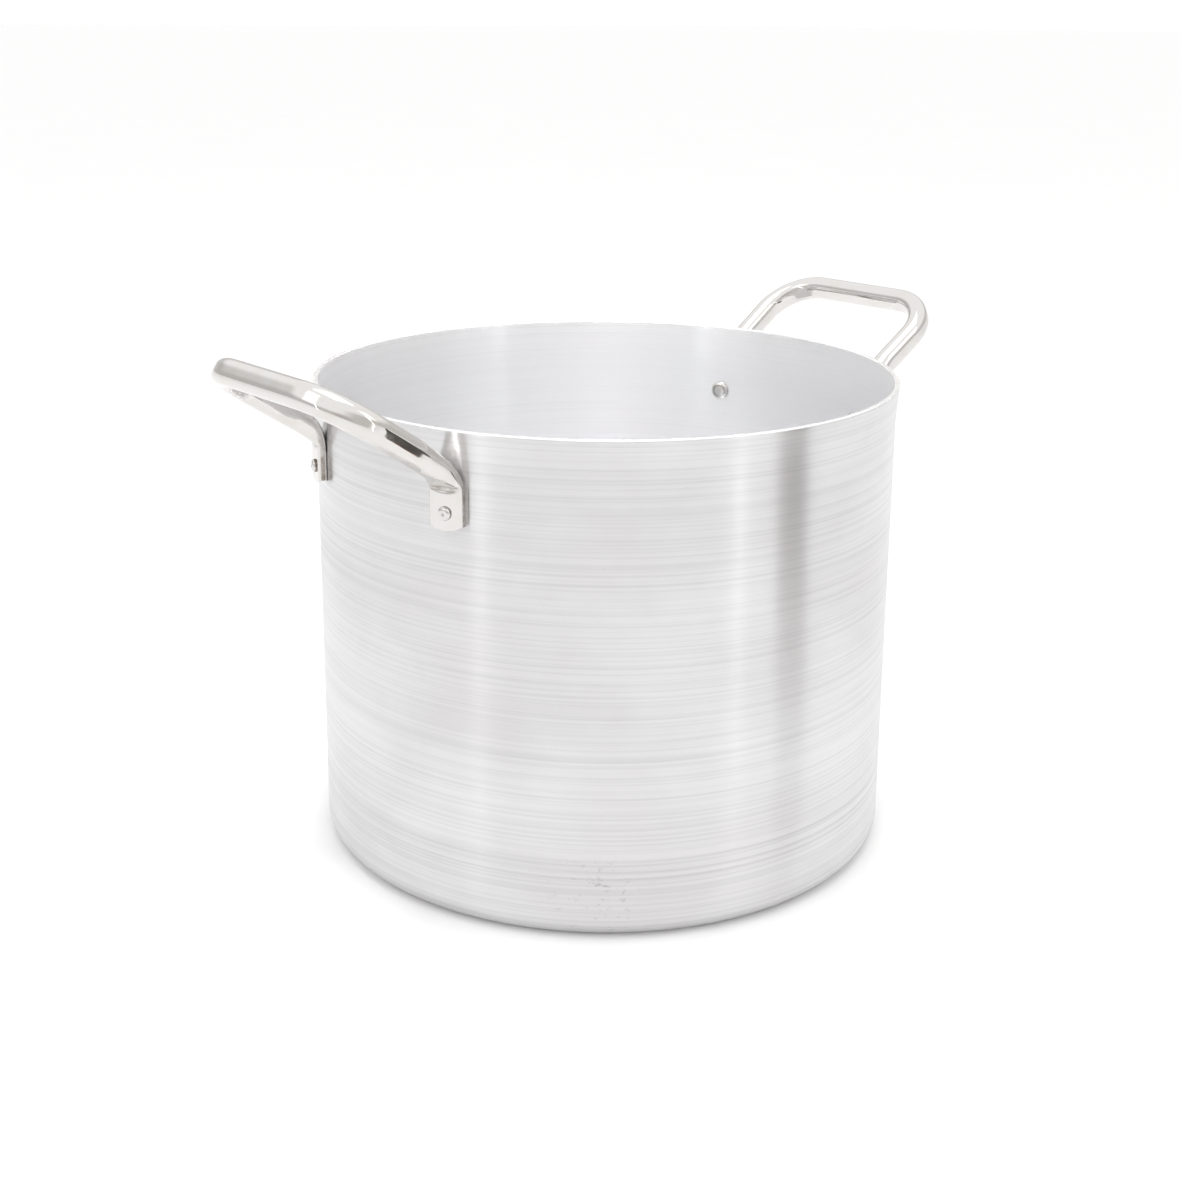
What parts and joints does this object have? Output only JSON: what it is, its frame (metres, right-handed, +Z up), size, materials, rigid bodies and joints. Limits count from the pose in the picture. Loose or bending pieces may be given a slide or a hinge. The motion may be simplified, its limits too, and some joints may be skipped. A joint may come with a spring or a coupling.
{
  "type": "stock pot",
  "caption": "Deep straight-sided round cooking pot with a flat base, a slightly flared rim and riveted bent tube handles on opposite sides.",
  "frame": {"origin": "centre of the underside of the base", "axes": "+Z up through the mouth, +X and -X towards the two handles, +Y across"},
  "size_m": [0.4988, 0.3636, 0.3238],
  "materials": {
    "body": "satin, turned, with fine rings round the pot",
    "handle": "polished stainless steel",
    "rivet": "smooth domed heads"
  },
  "bodies": {
    "root": {"pot_body": "body", "handle_left": "handle", "handle_right": "handle", "rivet_left_back": "rivet", "rivet_left_front": "rivet", "rivet_right_back": "rivet", "rivet_right_front": "rivet"}
  },
  "joints": []
}
